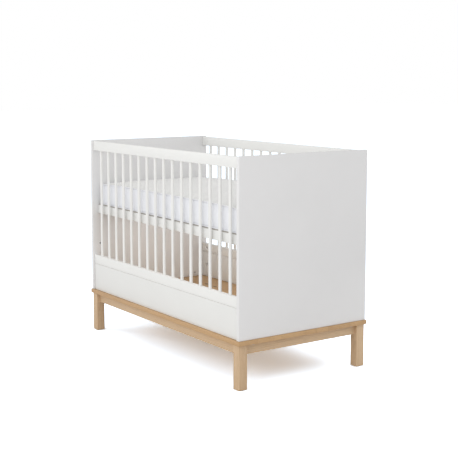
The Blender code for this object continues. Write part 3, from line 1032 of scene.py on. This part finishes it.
def swell(piece, held):
    """Fills the cover by cloth simulation with inner pressure, and limits how far it swells."""
    scene = bpy.context.scene
    slack = [vert.co.copy() for vert in piece.data.vertices]
    make_active(piece)
    filling = piece.modifiers.new("filling", "CLOTH")
    filling.settings.use_pressure = True
    filling.settings.uniform_pressure_force = PAD_PRESSURE
    filling.settings.vertex_group_mass = held.name
    filling.settings.effector_weights.gravity = 0.0
    for step in range(1, PAD_FRAMES + 1):
        scene.frame_set(step)
    bpy.ops.object.modifier_apply(modifier=filling.name)
    scene.frame_set(1)
    for vert, start in zip(piece.data.vertices, slack):
        move = vert.co - start
        if move.length > PAD_SWELL:
            vert.co = start + move.normalized() * PAD_SWELL
    piece.vertex_groups.clear()


def add_smoothing(piece):
    """Subdivides the filled net once, so that its quilting and edges come out soft."""
    make_active(piece)
    finer = piece.modifiers.new("finer", "SUBSURF")
    finer.levels = 1
    finer.render_levels = 1
    bpy.ops.object.modifier_apply(modifier=finer.name)


def quilt_dip(x, y):
    """How deep the sewn diamond quilting pulls the top panel in at a place."""
    dip = 0.0
    for across in (x + y, x - y):
        turns = across / QUILT_PITCH
        away = abs(turns - round(turns)) * QUILT_PITCH / math.sqrt(2)
        dip = max(dip, math.exp(-((away / QUILT_WIDTH) ** 2)))
    return dip * QUILT_DEPTH


def crown_rise(x, y, high):
    """The gentle rise of the filled top towards its middle."""
    along = max(0.0, 1 - (x / high.x) ** 4)
    across = max(0.0, 1 - (y / high.y) ** 4)
    return CROWN * along * across


def end_drop(x, high):
    """How far the top edge sinks towards the two ends, where the filling is thinner."""
    return PAD_END_DROP * (abs(x) / high.x) ** PAD_END_POWER


def quilt_and_seat(piece, low, high):
    """Crowns and quilts the top, flattens the bottom, and keeps the pad in its space."""
    height = high.z - low.z
    for vert in piece.data.vertices:
        edge = min(high.x - abs(vert.co.x), high.y - abs(vert.co.y))
        share = min(1.0, max(0.0, (edge - PAD_CORNER * 0.6) / PAD_CORNER))
        level = (vert.co.z - low.z) / height
        if level > PAD_TOP_LEVEL:
            rise = crown_rise(vert.co.x, vert.co.y, high) - quilt_dip(vert.co.x, vert.co.y)
            vert.co.z += share * rise
        vert.co.z -= level * end_drop(vert.co.x, high)
        vert.co.z = max(vert.co.z, low.z + PAD_REST_GAP)
        vert.co.x = min(max(vert.co.x, low.x), high.x)
        vert.co.y = min(max(vert.co.y, low.y), high.y)


def add_piping(name, high, height, sag):
    """A round tape-covered cord sewn round the pad's edge. sag follows the dropped ends."""
    deselect_all()
    bpy.ops.mesh.primitive_plane_add(size=2, location=(0, 0, height))
    piece = bpy.context.object
    piece.name = name
    out = PAD_INSET - PIPING_RADIUS * PIPING_TUCK
    piece.scale = (high.x - out, high.y - out, 1)
    bake_place(piece)
    bpy.ops.object.mode_set(mode="EDIT")
    bpy.ops.mesh.select_all(action="SELECT")
    bpy.ops.mesh.bevel(offset=PAD_CORNER, segments=8, affect="VERTICES")
    bpy.ops.mesh.select_all(action="SELECT")
    bpy.ops.mesh.delete(type="ONLY_FACE")
    bpy.ops.mesh.select_mode(type="EDGE")
    bpy.ops.mesh.select_all(action="SELECT")
    bpy.ops.mesh.subdivide(number_cuts=15)
    bpy.ops.object.mode_set(mode="OBJECT")
    for vert in piece.data.vertices:
        vert.co.z -= sag * end_drop(vert.co.x, high)
    bpy.ops.object.convert(target="CURVE")
    piece = bpy.context.object
    piece.data.bevel_depth = PIPING_RADIUS
    piece.data.bevel_resolution = 2
    bpy.ops.object.convert(target="MESH")
    piece = bpy.context.object
    smooth(piece, 60)
    return finish_piece(piece, MATTRESS_BODY, "mattress_cover", PIPING)


def add_top_panel_cloth(piece):
    """Gives the top and bottom panels their own cloth, apart from the border's."""
    piece.data.materials.append(TOP_PANEL_CLOTH)
    for face in piece.data.polygons:
        face.material_index = 1 if abs(face.normal.z) > PANEL_FACING else 0


def make_mattress():
    """The filled, quilted mattress with its two rows of piping."""
    low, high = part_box("mattress")
    piece = add_padding_block(low, high)
    held = hold_seams(piece, low, high)
    swell(piece, held)
    add_smoothing(piece)
    quilt_and_seat(piece, low, high)
    smooth(piece, 180)
    finish_piece(piece, MATTRESS_BODY, "mattress_cover", BORDER_CLOTH, "mattress")
    add_top_panel_cloth(piece)
    add_piping("piping_top", high, high.z - PAD_INSET - PIPING_RADIUS, 1.0)
    add_piping("piping_bottom", high, low.z + PIPING_RADIUS + PAD_REST_GAP, 0.0)


# ---------------------------------------------------------------- stage


def make_stage():
    """A white floor, lifted for the camera so that only the soft shadow under the crib shows."""
    deselect_all()
    bpy.ops.mesh.primitive_plane_add(size=FLOOR_SIZE, location=(0, 0, 0))
    floor = bpy.context.object
    floor.name = "studio_floor"
    material, nodes, shader, place = start_material("matt_white_floor")
    speckle = nodes.noise(place, 40.0, 2.0)
    seen = nodes.add("ShaderNodeBsdfDiffuse", {"Color": rgba(*FLOOR_LIFT)})
    tone = nodes.mix(speckle, rgba(0.90, 0.90, 0.90), rgba(0.92, 0.92, 0.92))
    nodes.feed(shader.inputs["Base Color"], tone)
    shader.inputs["Roughness"].default_value = 0.9
    shader.inputs["Specular IOR Level"].default_value = 0.1
    to_camera = nodes.add("ShaderNodeLightPath").outputs["Is Camera Ray"]
    shaders = {0: to_camera, 1: shader.outputs[0], 2: seen.outputs[0]}
    choice = nodes.add("ShaderNodeMixShader", shaders)
    nodes.feed(material.node_tree.nodes["Material Output"].inputs["Surface"], choice.outputs[0])
    floor.data.materials.append(material)


def add_softbox(name, place, target, width, depth, power):
    """A rectangular softbox aimed at a point, which the camera doesn't see."""
    deselect_all()
    bpy.ops.object.light_add(type="AREA", location=place)
    lamp = bpy.context.object
    lamp.name = name
    lamp.data.shape = "RECTANGLE"
    lamp.data.size = width
    lamp.data.size_y = depth
    lamp.data.energy = power
    lamp.visible_camera = False
    lamp.rotation_euler = (Vector(target) - Vector(place)).to_track_quat("-Z", "Y").to_euler()
    return lamp


def make_white_surround():
    """Even white light from all round: paler to the camera than to the crib."""
    world = bpy.data.worlds.new("white_studio")
    world.use_nodes = True
    nodes = Nodes(world.node_tree)
    to_camera = nodes.add("ShaderNodeLightPath").outputs["Is Camera Ray"]
    level = nodes.remap(to_camera, 0.0, 1.0, SURROUND_LEVEL, 1.0)
    background = world.node_tree.nodes["Background"]
    background.inputs["Color"].default_value = rgba(1.0, 1.0, 1.0)
    nodes.feed(background.inputs["Strength"], level)
    bpy.context.scene.world = world


def make_lights():
    """Softboxes round the crib, a wash on the floor behind, and a fill under the base."""
    make_white_surround()
    for name, place, size, watts in SOFTBOXES:
        add_softbox(name, place, (0, 0, AIM_HEIGHT), size, size, watts)
    below_wash = (WASH_PLACE[0], WASH_PLACE[1], 0)
    add_softbox("floor_wash_behind", WASH_PLACE, below_wash, *WASH_SIZE, WASH_WATTS)
    below_base = Vector((0, 0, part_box("base_side_rail_front")[0].z - UNDER_BASE_GAP))
    fill = add_softbox("fill_under_base", below_base, (0, 0, 0), *UNDER_BASE_SIZE, UNDER_BASE_FILL)
    fill.parent = frame["bodies"][BASE_BODY]


def make_camera():
    """A long lens from the front right, a little above the crib and dipped towards it."""
    deselect_all()
    bpy.ops.object.camera_add(location=CAMERA_PLACE)
    camera = bpy.context.object
    camera.name = "studio_camera"
    camera.rotation_euler = (math.pi / 2 - CAMERA_DIP, 0, CAMERA_HEADING)
    camera.data.lens = CAMERA_LENS
    camera.data.shift_y = CAMERA_SHIFT
    camera.data.sensor_width = 36
    camera.data.clip_end = 200
    bpy.context.scene.camera = camera


def main():
    bpy.context.scene.view_settings.view_transform = "Standard"
    make_camera()
    make_lights()
    make_stage()
    make_end_panels()
    make_end_fixings()
    make_side_rails()
    make_slats()
    make_plinth()
    make_plinth_bolts()
    make_base()
    make_cams()
    make_mattress()


main()
